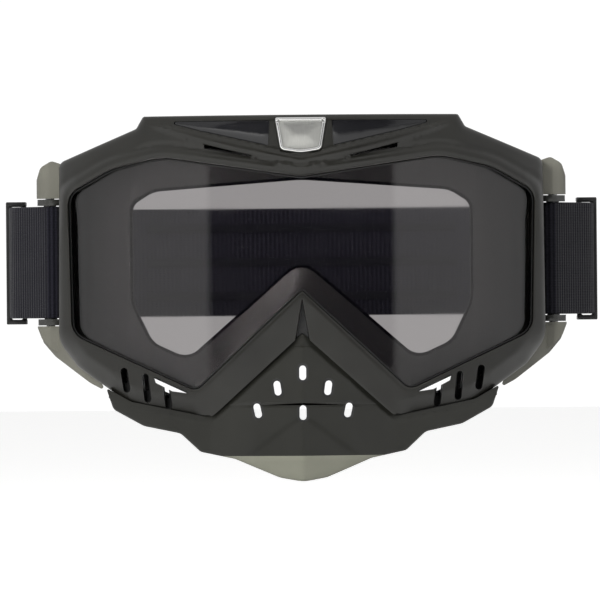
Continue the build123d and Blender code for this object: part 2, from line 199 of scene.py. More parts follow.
def slot_loop(centre, length, width, angle, step=0.5):
    """A round-ended slot. The angle is its long side's, from the X axis."""
    half, r = (length - width) / 2, width / 2
    along = np.array([cos(angle), sin(angle)])
    across = np.array([-along[1], along[0]])
    points = []
    for sign in (1, -1):
        for k in range(9):
            a = -pi / 2 + pi * k / 8
            points.append(np.array(centre) + sign * (along * (half + r * cos(a)) + across * r * sin(a)))
    return divided(np.array(points), step)


def distance(points, loop, closed=True):
    """How far each point is from a line."""
    a = loop if closed else loop[:-1]
    b = np.roll(loop, -1, axis=0) if closed else loop[1:]
    run = b - a
    length = np.maximum((run**2).sum(1), 1e-12)
    best = np.empty(len(points))
    for i in range(0, len(points), 4000):
        p = points[i:i + 4000, None, :]
        t = np.clip(((p - a) * run).sum(2) / length, 0, 1)
        gap = p - (a + t[..., None] * run)
        best[i:i + 4000] = np.sqrt((gap**2).sum(2).min(1))
    return best


def inside(points, loop):
    """Which points a closed line goes round."""
    a, b = loop, np.roll(loop, -1, axis=0)
    result = np.zeros(len(points), bool)
    for i in range(0, len(points), 4000):
        x, z = points[i:i + 4000, 0, None], points[i:i + 4000, 1, None]
        crosses = (a[:, 1] > z) != (b[:, 1] > z)
        rise = np.where(b[:, 1] == a[:, 1], 1e-12, b[:, 1] - a[:, 1])
        at = a[:, 0] + (z - a[:, 1]) / rise * (b[:, 0] - a[:, 0])
        result[i:i + 4000] = (crosses & (x < at)).sum(1) % 2 == 1
    return result


def smooth(value, low, high):
    t = np.clip((value - low) / (high - low), 0, 1)
    return t * t * (3 - 2 * t)


def edge_round(d, radius):
    """How far a rounded edge of that radius falls away, at distance d from the edge."""
    inward = np.clip(radius - d, 0, radius)
    return radius - np.sqrt(np.maximum(radius**2 - inward**2, 0))


# ---------------------------------------------------------------- meshes

def linked(name, data):
    """A scene object that shows a mesh, a lamp or a camera."""
    thing = bpy.data.objects.new(name, data)
    bpy.context.scene.collection.objects.link(thing)
    return thing


def shaded_object(name, mesh, material, smooth_angle):
    """An object from a mesh, its faces turned outward and its sharp edges kept."""
    work = bmesh.new()
    work.from_mesh(mesh)
    bmesh.ops.recalc_face_normals(work, faces=work.faces)
    work.to_mesh(mesh)
    work.free()
    mesh.shade_smooth()
    mesh.set_sharp_from_angle(angle=radians(smooth_angle))
    mesh.materials.append(material)
    return linked(name, mesh)


def new_object(name, vertices, faces, material, smooth_angle=40):
    """An object from vertices in millimetres."""
    mesh = bpy.data.meshes.new(name)
    mesh.from_pydata([tuple(v) for v in np.asarray(vertices, float) * MM], [], [tuple(f) for f in faces])
    mesh.validate()
    return shaded_object(name, mesh, material, smooth_angle)


def row_points(loop, offset):
    """Points at a small offset to both sides of a closed line."""
    tangent = np.roll(loop, -1, axis=0) - np.roll(loop, 1, axis=0)
    tangent /= np.maximum(np.linalg.norm(tangent, axis=1), 1e-9)[:, None]
    normal = np.column_stack([-tangent[:, 1], tangent[:, 0]])
    return np.vstack([loop + normal * offset, loop - normal * offset])


def flat_triangles(outline, holes, creases, rows, grid):
    """Triangles that fill an outline and keep its holes and creases as edges."""
    loops = [outline, *holes]
    lines = loops + list(creases)
    vertices, edges = [], []
    for line in lines:
        first = len(vertices)
        vertices += list(line)
        edges += [(first + i, first + (i + 1) % len(line)) for i in range(len(line))]
    low, high = outline.min(0), outline.max(0)
    across = np.arange(low[0] + grid / 2, high[0], grid)
    up = np.arange(low[1] + grid / 2, high[1], grid * 0.866)
    x, z = np.meshgrid(across, up)
    x = x + (np.arange(len(up)) % 2 * grid / 2)[:, None]
    fill = np.column_stack([x.ravel(), z.ravel()])
    fill = fill[inside(fill, outline)]
    keep = np.ones(len(fill), bool)
    for line in lines:
        clear = max(rows) + grid * 0.55 if any(line is loop for loop in loops) else grid * 0.5
        keep &= distance(fill, line) > clear
    fill = fill[keep]
    near = []
    for loop in loops:
        for offset in rows:
            ring = row_points(loop, offset)
            ok = inside(ring, outline)
            for other in lines:
                ok &= distance(ring, other) > 0.93 * offset
            near.append(ring[ok])
    near = np.vstack(near)
    vertices += list(near) + list(fill)
    flat = [Vector((float(p[0]), float(p[1]))) for p in vertices]
    out, _, faces, *_ = delaunay_2d_cdt(flat, edges, [], 0, 1e-5)
    points = np.array([(v.x, v.y) for v in out])
    faces = np.array([f for f in faces if len(f) == 3])
    middle = points[faces].mean(1)
    ok = inside(middle, outline)
    for hole in holes:
        ok &= ~inside(middle, hole)
    faces = faces[ok]
    used, index = np.unique(faces, return_inverse=True)
    return points[used], index.reshape(-1, 3)


def relief_solid(name, outline, front, back, material, holes=(), creases=(), rows=(0.12, 0.4, 0.9, 1.6),
                 grid=1.0, smooth_angle=40):
    """A solid over a flat outline, between a front and a back surface given as depths of (x, z)."""
    points, faces = flat_triangles(outline, holes, creases, rows, grid)
    near = np.column_stack([points[:, 0], front(points), points[:, 1]])
    far = np.column_stack([points[:, 0], back(points), points[:, 1]])
    count = len(points)
    seen = {}
    for face in faces:
        for a, b in zip(face, np.roll(face, -1)):
            seen.setdefault((min(a, b), max(a, b)), []).append((a, b))
    walls = [(b, a, a + count, b + count) for pairs in seen.values() if len(pairs) == 1 for a, b in pairs]
    solid = [tuple(f) for f in faces] + [tuple(f[::-1] + count) for f in faces] + walls
    return new_object(name, np.vstack([near, far]), solid, material, smooth_angle)


def soften_cad(name, material, width=0.3, segments=2, angle=35):
    """Gives a CAD node its material and small rounded edges."""
    piece = nodes[name]
    piece.data.materials.clear()
    piece.data.materials.append(material)
    weld = piece.modifiers.new("weld", "WELD")
    weld.merge_threshold = 1e-6
    bevel = piece.modifiers.new("bevel", "BEVEL")
    bevel.width = width * MM
    bevel.segments = segments
    bevel.limit_method = "ANGLE"
    bevel.angle_limit = radians(angle)
    bevel.harden_normals = True
    return piece


# ---------------------------------------------------------------- materials

def material_with(name, colour, roughness, **sockets):
    """A Principled material and its nodes. Sockets are set on the shader itself."""
    material = bpy.data.materials.new(name)
    material.use_nodes = True
    tree = material.node_tree
    shader = tree.nodes["Principled BSDF"]
    shader.inputs["Base Color"].default_value = (*colour, 1)
    shader.inputs["Roughness"].default_value = roughness
    for socket, value in sockets.items():
        shader.inputs[socket].default_value = value
    return material, tree, shader


def add_node(tree, kind, **values):
    node = tree.nodes.new(kind)
    for key, value in values.items():
        if key in node.inputs:
            node.inputs[key].default_value = value
        else:
            setattr(node, key, value)
    return node


def texture_space(tree, source="Object"):
    return tree.nodes.new("ShaderNodeTexCoord").outputs[source]


def noise_of(tree, space, scale, detail=4.0, roughness=0.55):
    texture = add_node(tree, "ShaderNodeTexNoise", Scale=scale, Detail=detail, Roughness=roughness)
    tree.links.new(space, texture.inputs["Vector"])
    return texture.outputs["Fac"]


def ranged(tree, value, low, high, start=0.3, stop=0.7):
    node = add_node(tree, "ShaderNodeMapRange")
    node.inputs["From Min"].default_value = start
    node.inputs["From Max"].default_value = stop
    node.inputs["To Min"].default_value = low
    node.inputs["To Max"].default_value = high
    tree.links.new(value, node.inputs["Value"])
    return node.outputs["Result"]


def mixed_colour(tree, factor, first, second):
    node = tree.nodes.new("ShaderNodeMix")
    node.data_type = "RGBA"
    node.inputs[6].default_value = (*first, 1)
    node.inputs[7].default_value = (*second, 1)
    tree.links.new(factor, node.inputs[0])
    return node.outputs[2]


def bump_chain(tree, shader, heights):
    """Bumps one on another, from (height output, strength, distance in metres)."""
    normal = None
    for height, strength, depth in heights:
        bump = add_node(tree, "ShaderNodeBump", Strength=strength, Distance=depth)
        tree.links.new(height, bump.inputs["Height"])
        if normal is not None:
            tree.links.new(normal, bump.inputs["Normal"])
        normal = bump.outputs["Normal"]
    tree.links.new(normal, shader.inputs["Normal"])


def moulded_plastic(name, colour, worn, roughness, grain_depth=0.00004):
    """Moulded plastic: a fine sparked grain, slow waviness, and patches of handling wear."""
    material, tree, shader = material_with(name, colour, roughness)
    space = texture_space(tree)
    patches = ranged(tree, noise_of(tree, space, 38, 5), 0, 1)
    tree.links.new(mixed_colour(tree, patches, colour, worn), shader.inputs["Base Color"])
    smears = noise_of(tree, space, 120, 6)
    tree.links.new(ranged(tree, smears, roughness - 0.05, roughness + 0.08), shader.inputs["Roughness"])
    bump_chain(tree, shader, [
        (noise_of(tree, space, 2600, 2), 0.35, grain_depth),
        (noise_of(tree, space, 55, 2), 0.25, 0.0003),
    ])
    return material


# Where the chassis is olive, in metres: beyond EAR_START from the middle, and where
# LIP_SLOPE * |x| - z passes LIP_START. On the lower lip this olive is painted light from the floor.
# Each pair of values is the width of the change.
EAR_START = (0.0772, 0.0776)
LIP_SLOPE = 0.706
LIP_START = (0.0865, 0.0875)


def chassis_material():
    """Moulded plastic, olive grey on the ears and black elsewhere; the same olive on the lower lip is painted
    light, standing in for light from the floor.
    """
    material = moulded_plastic("chassis_plastic", (0.1, 0.098, 0.08), (0.14, 0.137, 0.115), 0.45)
    tree = material.node_tree
    shader = tree.nodes["Principled BSDF"]
    outer_colour = shader.inputs["Base Color"].links[0].from_socket
    split = tree.nodes.new("ShaderNodeSeparateXYZ")
    tree.links.new(texture_space(tree), split.inputs[0])
    across = add_node(tree, "ShaderNodeMath", operation="ABSOLUTE")
    tree.links.new(split.outputs["X"], across.inputs[0])
    slope = add_node(tree, "ShaderNodeMath", operation="MULTIPLY_ADD")
    tree.links.new(across.outputs[0], slope.inputs[0])
    slope.inputs[1].default_value = LIP_SLOPE
    drop = add_node(tree, "ShaderNodeMath", operation="SUBTRACT")
    tree.links.new(drop.outputs[0], slope.inputs[2])
    drop.inputs[0].default_value = 0
    tree.links.new(split.outputs["Z"], drop.inputs[1])
    ear = ranged(tree, across.outputs[0], 0, 1, *EAR_START)
    # Painted light: the lower lip gets the pale olive, standing in for light from the floor.
    lip = ranged(tree, slope.outputs[0], 0, 1, *LIP_START)
    either = add_node(tree, "ShaderNodeMath", operation="MAXIMUM")
    tree.links.new(ear, either.inputs[0])
    tree.links.new(lip, either.inputs[1])
    mixed = mixed_colour(tree, either.outputs[0], (0.008, 0.008, 0.008), (0, 0, 0))
    tree.links.new(outer_colour, mixed.node.inputs[7])
    tree.links.new(mixed, shader.inputs["Base Color"])
    return material


def lens_material():
    """Smoke polycarbonate, with a slightly uneven tint and polish."""
    material, tree, shader = material_with("smoke_lens", (0.8, 0.8, 0.82), 0.03)
    shader.inputs["Transmission Weight"].default_value = 1.0
    shader.inputs["IOR"].default_value = 1.5
    space = texture_space(tree)
    haze = noise_of(tree, space, 26, 4)
    tree.links.new(ranged(tree, haze, 0.015, 0.05), shader.inputs["Roughness"])
    tint = ranged(tree, noise_of(tree, space, 9, 2), 0, 1)
    smoke = mixed_colour(tree, tint, (0.66, 0.63, 0.63), (0.7, 0.67, 0.67))
    tree.links.new(smoke, shader.inputs["Base Color"])
    return material


def chrome_material():
    material, tree, shader = material_with("badge_chrome", (0.86, 0.86, 0.85), 0.1, Metallic=1.0)
    space = texture_space(tree)
    tree.links.new(ranged(tree, noise_of(tree, space, 400, 3), 0.07, 0.16), shader.inputs["Roughness"])
    bump_chain(tree, shader, [(noise_of(tree, space, 500, 2), 0.1, 0.00002)])
    return material


def satin_metal():
    """Silvered plate with fine upright brushing."""
    material, tree, shader = material_with("badge_satin", (0.5, 0.5, 0.48), 0.38, Metallic=0.85)
    space = texture_space(tree)
    stretch = add_node(tree, "ShaderNodeMapping")
    stretch.inputs["Scale"].default_value = (30, 30, 1)
    tree.links.new(space, stretch.inputs["Vector"])
    brushed = noise_of(tree, stretch.outputs["Vector"], 180, 4)
    tree.links.new(ranged(tree, brushed, 0.3, 0.48), shader.inputs["Roughness"])
    shade = mixed_colour(tree, brushed, (0.4, 0.4, 0.38), (0.6, 0.6, 0.57))
    tree.links.new(shade, shader.inputs["Base Color"])
    bump_chain(tree, shader, [(brushed, 0.2, 0.00002)])
    return material


def steel_material():
    material, tree, shader = material_with("pin_steel", (0.55, 0.55, 0.54), 0.3, Metallic=1.0)
    space = texture_space(tree)
    tree.links.new(ranged(tree, noise_of(tree, space, 900, 3), 0.22, 0.4), shader.inputs["Roughness"])
    bump_chain(tree, shader, [(noise_of(tree, space, 2000, 2), 0.2, 0.00002)])
    return material


def foam_material(name, colour, pore_scale, depth):
    """Open foam: two sizes of cell, with darker pits."""
    material, tree, shader = material_with(name, colour, 0.95)
    shader.inputs["Specular IOR Level"].default_value = 0.1
    shader.inputs["Sheen Weight"].default_value = 0.05
    space = texture_space(tree)
    cells = add_node(tree, "ShaderNodeTexVoronoi", Scale=pore_scale)
    tree.links.new(space, cells.inputs["Vector"])
    fine = noise_of(tree, space, pore_scale * 2.5, 5)
    dark = tuple(c * 0.4 for c in colour)
    light = tuple(min(1, c * 1.5) for c in colour)
    pits = ranged(tree, cells.outputs["Distance"], 0, 1, 0.05, 0.6)
    tree.links.new(mixed_colour(tree, pits, light, dark), shader.inputs["Base Color"])
    tree.links.new(ranged(tree, fine, 0.88, 1.0), shader.inputs["Roughness"])
    bump_chain(tree, shader, [(cells.outputs["Distance"], 0.7, depth), (fine, 0.5, depth * 0.5)])
    return material


def fleece_material():
    """Short brushed pile over a knitted back."""
    material, tree, shader = material_with("face_fleece", (0.03, 0.03, 0.033), 0.96)
    shader.inputs["Specular IOR Level"].default_value = 0.1
    shader.inputs["Sheen Weight"].default_value = 0.15
    shader.inputs["Sheen Roughness"].default_value = 0.6
    space = texture_space(tree)
    tufts = noise_of(tree, space, 520, 8, 0.7)
    nap = noise_of(tree, space, 60, 3)
    tree.links.new(mixed_colour(tree, ranged(tree, nap, 0, 1), (0.012, 0.012, 0.014), (0.028, 0.028, 0.032)),
                   shader.inputs["Base Color"])
    tree.links.new(ranged(tree, tufts, 0.85, 1.0), shader.inputs["Roughness"])
    bump_chain(tree, shader, [(tufts, 0.9, 0.0006), (nap, 0.4, 0.0008)])
    return material


def webbing_material():
    """Woven elastic: cross ribs over rubber cores, with finer yarns along it."""
    material, tree, shader = material_with("strap_elastic", (0.02, 0.02, 0.026), 0.85)
    shader.inputs["Specular IOR Level"].default_value = 0.1
    shader.inputs["Sheen Weight"].default_value = 0.06
    shader.inputs["Sheen Roughness"].default_value = 0.5
    space = texture_space(tree, "UV")
    heights = []
    for direction, period, strength, depth in (("X", 0.0016, 0.8, 0.0002), ("Y", 0.0009, 0.6, 0.00012)):
        wave = add_node(tree, "ShaderNodeTexWave", bands_direction=direction, Distortion=0.25)
        wave.inputs["Scale"].default_value = 2 * pi / period / 20
        wave.inputs["Detail"].default_value = 1.0
        tree.links.new(space, wave.inputs["Vector"])
        heights.append((wave.outputs["Fac"], strength, depth))
    fuzz = noise_of(tree, space, 2500, 5)
    shade = noise_of(tree, space, 70, 3)
    tree.links.new(mixed_colour(tree, heights[0][0], (0.0035, 0.0035, 0.0055), (0.0125, 0.012, 0.017)),
                   shader.inputs["Base Color"])
    tree.links.new(ranged(tree, shade, 0.75, 0.95), shader.inputs["Roughness"])
    bump_chain(tree, shader, heights + [(fuzz, 0.4, 0.0001)])
    return material


def thread_material():
    material, tree, shader = material_with("thread", (0.03, 0.03, 0.035), 0.7)
    space = texture_space(tree)
    twist = noise_of(tree, space, 3000, 3)
    shade = mixed_colour(tree, twist, (0.02, 0.02, 0.024), (0.06, 0.06, 0.07))
    tree.links.new(shade, shader.inputs["Base Color"])
    bump_chain(tree, shader, [(twist, 0.5, 0.0001)])
    return material


def silicone_material():
    material, tree, shader = material_with("silicone", (0.005, 0.005, 0.0065), 0.75)
    shader.inputs["Specular IOR Level"].default_value = 0.15
    space = texture_space(tree)
    tree.links.new(ranged(tree, noise_of(tree, space, 200, 4), 0.65, 0.85), shader.inputs["Roughness"])
    bump_chain(tree, shader, [(noise_of(tree, space, 700, 3), 0.3, 0.0001)])
    return material


FRAME_PLASTIC = moulded_plastic("frame_plastic", (0.0075, 0.0072, 0.006), (0.0115, 0.0112, 0.0092), 0.33)
CHASSIS_PLASTIC = chassis_material()
GUARD_PLASTIC = moulded_plastic("guard_plastic", (0.009, 0.009, 0.0072), (0.013, 0.013, 0.0105), 0.42)
# A pale copy of the guard plastic for the chin's down-facing band: painted light, standing in for the light
# it catches from the floor.
CHIN_FLOOR_LIGHT = moulded_plastic("chin_painted_floor_light", (0.16, 0.162, 0.125), (0.2, 0.2, 0.16), 0.5)
BAR_PLASTIC = moulded_plastic("bar_plastic", (0.02, 0.02, 0.018), (0.03, 0.03, 0.028), 0.26)
# Black plastic for the adjusters and the studs, also used as painted shade in the nose notch, in the vent
# slots and round the guard's holes.
BLACK_PLASTIC_AND_SHADE = moulded_plastic("black_plastic_and_shade", (0.012, 0.012, 0.012), (0.018, 0.018, 0.018), 0.32)
GLOSS_PANEL = moulded_plastic("gloss_panel", (0.008, 0.008, 0.009), (0.012, 0.012, 0.013), 0.12,
                              grain_depth=0.000008)
# Black rubber for the lens seal, also used as painted shade on the bead along the lens opening.
SEAL_RUBBER_AND_EDGE_SHADE = moulded_plastic("seal_rubber_and_edge_shade", (0.006, 0.006, 0.006), (0.009, 0.009, 0.009), 0.7)
LENS = lens_material()
CHROME = chrome_material()
SATIN = satin_metal()
STEEL = steel_material()
FACE_FOAM = foam_material("face_foam", (0.0045, 0.0045, 0.005), 900, 0.0005)
FILTER_FOAM = foam_material("filter_foam", (0.014, 0.014, 0.014), 450, 0.0009)
FLEECE = fleece_material()
WEBBING = webbing_material()
THREAD = thread_material()
SILICONE = silicone_material()


# ---------------------------------------------------------------- surfaces

def shell_y(x):
    return LENS_CENTRE - np.sqrt(SHELL_RADIUS**2 - x**2)


def face_y(x):
    """The rear face of the chassis, where the foam starts."""
    return FACE_CENTRE - np.sqrt(FACE_RADIUS**2 - x**2)


outline = rounded_loop(mirrored(SHELL_EDGE))
opening = rounded_loop(mirrored(LENS_OPENING))
badge_outline = rounded_loop(mirrored(BADGE_EDGE), 0.4)


def grown(loop, amount):
    """A closed outline moved outward by a small amount, or inward where it is negative."""
    tangent = np.roll(loop, -1, axis=0) - np.roll(loop, 1, axis=0)
    tangent /= np.maximum(np.linalg.norm(tangent, axis=1), 1e-9)[:, None]
    area = (loop[:, 0] * np.roll(loop[:, 1], -1) - loop[:, 1] * np.roll(loop[:, 0], -1)).sum()
    normal = np.column_stack([tangent[:, 1], -tangent[:, 0]]) * (1 if area > 0 else -1)
    return loop + normal * amount


def rib_height(points):
    """The raised V across the brow, from 0 beside it to 1 on its crest."""
    x, z = np.abs(points[:, 0]), points[:, 1]
    top = 34.9 + (46.8 - 34.9) * x / 51
    bottom = np.interp(x, [0, 34, 51], [30, 39.4, 45.6])
    s = np.clip((z - bottom) / np.maximum(top - bottom, 0.2), 0, 1)
    return (4 * s * (1 - s))**0.5 * (1 - smooth(x, 44, 52))


RECESS_WALL = 0.25
PANEL_DEPTH = 1.75
BADGE_DEPTH = 1.3
NOTCH_DEPTH = 3.4
RIM_WIDTH = 3.9
panel_loops = [rounded_loop(PANEL_EDGE, 0.6), rounded_loop(flipped(PANEL_EDGE), 0.6)]
notch_loop = rounded_loop(NOSE_NOTCH, 0.5)
recesses = [(loop, PANEL_DEPTH) for loop in panel_loops]
recesses += [(grown(badge_outline, 0.15), BADGE_DEPTH), (notch_loop, NOTCH_DEPTH)]
vent_holes = []
for vent_top, vent_bottom in VENT_SLOTS:
    vent_top, vent_bottom = np.array(vent_top), np.array(vent_bottom)
    hole_end = vent_top + (vent_bottom - vent_top) * VENT_HOLE_SHARE
    for end, width, is_hole in ((vent_bottom, VENT_WIDTH, False), (hole_end, VENT_HOLE_WIDTH, True)):
        run = end - vent_top
        loop = slot_loop((vent_top + end) / 2, np.linalg.norm(run) + width, width, atan2(run[1], run[0]))
        pair = [loop, loop * (-1, 1)]
        if is_hole:
            vent_holes += pair
        else:
            recesses += [(one, VENT_DEPTH) for one in pair]


def shell_front(points):
    """Depth of the front shell's outer face, with its rim, rib, bevels and recesses."""
    x, z = points[:, 0], points[:, 1]
    out, into = distance(points, outline), distance(points, opening)
    y = shell_y(x)
    upper = smooth(z, 2, 16)
    rim = np.clip(into / RIM_WIDTH, 0, 1)
    y -= 0.9 * upper * np.sin(pi * rim) * (into < RIM_WIDTH)
    y += 0.45 * upper * np.exp(-((into - 4.4) / 0.7)**2)
    y -= 1.2 * rib_height(points)
    lower_side = (1 - smooth(z, -34, -22)) * smooth(np.abs(x), 30, 38)
    y += 0.75 * np.clip(5.2 - out, 0, None) * lower_side
    beam = (1 - smooth(z, -12, -6)) * (1 - smooth(np.abs(x), 30, 40))
    y += 0.10 * np.clip(into - 1.5, 0, 9) * beam
    shoulder = smooth(np.abs(x), 50, 60) * smooth(z, 10, 26)
    y += 0.3 * np.clip(6 - out, 0, None) * shoulder
    y += edge_round(out, 1.0 + 0.8 * np.maximum(upper, smooth(np.abs(x), 72, 78)))
    y += edge_round(into, 0.7)
    for loop, depth in recesses:
        within = inside(points, loop) & (distance(points, loop) > min(0.05, 0.03 * depth))
        y = np.where(within, shell_y(x) + depth, y)
    return y


def paint_black_shade(piece, loops, depth=0):
    """Painted shade: black plastic colour on the faces of a piece within some loops, or only on those that
    lie deeper than that in the shell.
    """
    piece.data.materials.append(BLACK_PLASTIC_AND_SHADE)
    slot = len(piece.data.materials) - 1
    centres = np.array([p.center for p in piece.data.polygons]) / MM
    flat = centres[:, [0, 2]]
    within = np.any([inside(flat, loop) | (distance(flat, loop) < 0.05) for loop in loops], axis=0)
    if depth:
        within &= centres[:, 1] > shell_y(centres[:, 0]) + depth
    for index in np.flatnonzero(within):
        piece.data.polygons[int(index)].material_index = slot


def cut_groove(shell):
    """The groove along the shell's lower edges that the nose guard's tongue slides up into."""
    corners = mirrored([((x, z + 0.35), 0) for x, z in TONGUE_TOP]
                       + [((x, z - 4), 0) for x, z in reversed(TONGUE_TOP)] + [((0, -31), 0)])
    band = rounded_loop(corners, 2)
    cutter = relief_solid("groove_cutter", band, lambda p: shell_y(p[:, 0]) + 1.0,
                          lambda p: shell_y(p[:, 0]) + 5.0, FRAME_PLASTIC, rows=(0.5,), grid=3)
    cut = shell.modifiers.new("groove", "BOOLEAN")
    cut.operation = "DIFFERENCE"
    cut.solver = "EXACT"
    cut.object = cutter
    bpy.context.view_layer.update()
    result = bpy.data.meshes.new_from_object(shell.evaluated_get(bpy.context.evaluated_depsgraph_get()))
    shell.modifiers.remove(cut)
    shell.data = result
    bpy.data.objects.remove(cutter)
    result.shade_smooth()
    result.set_sharp_from_angle(angle=radians(40))


def make_front_shell():
    holes = list(vent_holes)
    for corners in (RIM_GAP, BROW_WEDGE):
        holes += [rounded_loop(corners, 0.5), rounded_loop(flipped(corners), 0.5)]
    creases = []
    for loop, _ in recesses:
        creases += [loop, grown(loop, -RECESS_WALL)]
    piece = relief_solid("front_shell_visual", outline, shell_front, lambda p: shell_y(p[:, 0]) + SHELL_DEPTH,
                         FRAME_PLASTIC, holes=[opening, *holes], creases=creases, grid=0.85)
    cut_groove(piece)
    # Painted shade: the nose notch and the deep parts of the vent slots are coloured black.
    paint_black_shade(piece, [notch_loop, *[loop for loop, depth in recesses if depth == VENT_DEPTH]], 0.4)
    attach(piece, "root")
    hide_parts("front_shell")


def guard_plan_y(x):
    xs, ys = zip(*GUARD_PLAN)
    return np.interp(np.abs(x), xs, ys)


def guard_skin_y(points):
    """Depth of the nose guard's plain outer face, which leans out to a crease and turns back under."""
    x, z = points[:, 0], points[:, 1]
    drop = GUARD_PLAN_HEIGHT - np.maximum(z, CREASE_HEIGHT)
    return guard_plan_y(x) - GUARD_LEAN * drop + np.clip(CREASE_HEIGHT - z, 0, None)


def guard_holes():
    loops = []
    for (x, z), tilt in GUARD_HOLES:
        for side in ((1, -1) if x else (1,)):
            angle = radians(90 - side * tilt)
            loops.append(slot_loop((side * x, z), HOLE_LENGTH, HOLE_WIDTH, angle, 0.4))
    return loops


hole_loops = guard_holes()
guard_outline = rounded_loop(mirrored(GUARD_EDGE), 0.7)


def guard_front(points):
    x, z = points[:, 0], points[:, 1]
    y = guard_skin_y(points)
    edge = distance(points, guard_outline)
    top = np.interp(np.abs(x), *zip(*GUARD_TOP))
    below = top - z
    y += edge_round(edge, 1.0) * (below > 2.5)
    y += 0.5 * edge_round(np.clip(below, 0, None), 0.9)
    y = np.where(below < 0.02, np.maximum(y, shell_y(x) + 1.3), y)
    for loop in hole_loops:
        y += 0.7 * (1 - smooth(distance(points, loop), 0, 0.9))
    facet = np.abs(x) - (FACET_TOP - z) * FACET_SLOPE
    y += 0.5 * smooth(-facet, 0, 2.0) * (z < FACET_TOP) * (z > CREASE_HEIGHT)
    return y


def make_nose_guard():
    crease = divided(np.array([(-27.0, CREASE_HEIGHT), (27.0, CREASE_HEIGHT)]), 0.8, closed=False)
    half = [(x, z) for x, z in GUARD_TOP if x < 66]
    seam = divided(np.array([(-x, z) for x, z in reversed(half) if x] + half), 0.7, closed=False)
    piece = relief_solid("nose_guard_visual", guard_outline, guard_front,
                         lambda p: guard_skin_y(p) + GUARD_SKIN, GUARD_PLASTIC, holes=hole_loops,
                         creases=[crease, seam], rows=(0.12, 0.4, 0.8), grid=1.0, smooth_angle=24)
    # Painted light: below the crease the down-facing chin gets the pale copy of the guard plastic, standing
    # in for light from the floor.
    chin = piece.data
    chin.materials.append(CHIN_FLOOR_LIGHT)
    for polygon in chin.polygons:
        if polygon.center.z < (CREASE_HEIGHT - 0.05) * MM:
            polygon.material_index = 1
    # Painted shade: a black ring round each breathing hole.
    paint_black_shade(piece, [grown(loop, 0.75) for loop in hole_loops])
    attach(piece, "nose_guard")
    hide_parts("nose_guard")
    for side in (1, -1):
        upper = [(side * x, z) for x, z in GUARD_TOP if 32 < x < 66] + [(side * 65.5, -44.2)]
        band = upper + [(x, z - SHELF_THICKNESS) for x, z in reversed(upper)]
        shelf = relief_solid(f"guard_shelf_{'right' if side > 0 else 'left'}", divided(np.array(band), 1.0),
                             lambda p: shell_y(p[:, 0]) + 2.2, lambda p: shell_y(p[:, 0]) + 11.5,
                             GUARD_PLASTIC, rows=(0.3,), grid=1.5)
        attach(shelf, "nose_guard")


def make_badge():
    inner = grown(badge_outline, -1.35)

    def crown(points):
        rim = np.minimum(distance(points, badge_outline), distance(points, inner))
        return shell_y(points[:, 0]) - 0.4 - 0.9 * np.sqrt(np.clip(rim / 0.68, 0, 1))

    ring = relief_solid("badge_bezel_visual", badge_outline, crown, lambda p: shell_y(p[:, 0]) + 1.2, CHROME,
                        holes=[inner], rows=(0.1, 0.3, 0.55), grid=0.5, smooth_angle=60)
    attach(ring, "root")
    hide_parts("badge_bezel")

    def dome(points):
        return shell_y(points[:, 0]) - 0.15 - 0.35 * smooth(distance(points, inner), 0, 5)

    plate = relief_solid("badge_plate_visual", inner, dome, lambda p: shell_y(p[:, 0]) + 1.2, SATIN,
                         rows=(0.1, 0.4), grid=0.8)
    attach(plate, "root")
    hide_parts("badge_plate")


def make_lens_edge_shade():
    """Painted shade: a thin black bead on the front of the lens, along the edge of its opening, standing in
    for the shadow gap there.
    """
    inner = grown(opening, -0.75)

    def lens_front(points):
        return LENS_CENTRE - np.sqrt(LENS_RADIUS**2 - points[:, 0]**2)

    def bead(points):
        rim = np.minimum(distance(points, opening), distance(points, inner))
        return lens_front(points) - 0.5 - 0.35 * np.sqrt(np.clip(rim / 0.37, 0, 1))

    piece = relief_solid("lens_edge_shade", opening, bead, lambda p: lens_front(p) - 0.06, SEAL_RUBBER_AND_EDGE_SHADE,
                         holes=[inner], rows=(0.15, 0.32), grid=0.9, smooth_angle=70)
    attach(piece, "root")


def ring_width(points, loops):
    return np.min([distance(points, loop) for loop in loops], axis=0)


foam_outline = rounded_loop(mirrored(FOAM_EDGE), 1.2)
foam_opening = rounded_loop(mirrored(FOAM_OPENING), 1.2)


def ripple(points, size, depth, seed):
    """A smooth unevenness, always the same for the same seed."""
    rng = np.random.default_rng(seed)
    total = np.zeros(len(points))
    for _ in range(7):
        heading, phase = rng.uniform(0, 2 * pi, 2)
        wave = (points @ np.array([cos(heading), sin(heading)])) * 2 * pi / (size * rng.uniform(0.7, 1.5))
        total += np.sin(wave + phase)
    return total * depth / 3


def make_face_pad():
    """Dense foam on the chassis with a crowned, softly uneven fleece over it."""
    loops = [foam_outline, foam_opening]

    def base_back(points):
        return face_y(points[:, 0]) + 11.8 - 0.5 * edge_round(ring_width(points, loops), 1.5)

    base = relief_solid("foam_base_visual", foam_outline, lambda p: face_y(p[:, 0]) + 0.05, base_back,
                        FACE_FOAM, holes=[foam_opening], rows=(0.4, 1.2), grid=1.8, smooth_angle=50)
    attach(base, "root")
    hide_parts("foam_base")

    def fleece_back(points):
        edge = ring_width(points, loops)
        crown = 0.9 * (1 - np.sqrt(np.clip(edge / 7, 0, 1))) + 0.9 * edge_round(edge, 1.4)
        return face_y(points[:, 0]) + 13.9 - crown - 0.15 * (1 + ripple(points, 14, 1, 4))

    fleece = relief_solid("face_fleece_visual", foam_outline, lambda p: face_y(p[:, 0]) + 11.85, fleece_back,
                          FLEECE, holes=[foam_opening], rows=(0.3, 0.8, 1.6, 3), grid=1.8, smooth_angle=70)
    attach(fleece, "root")
    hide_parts("face_fleece")


# ---------------------------------------------------------------- strap

def arc_points(centre, radius, start, end, step=1.2):
    count = max(3, ceil(abs(end - start) * radius / step))
    angles = np.linspace(start, end, count + 1)
    return [np.array(centre) + radius * np.array([cos(a), sin(a)]) for a in angles]


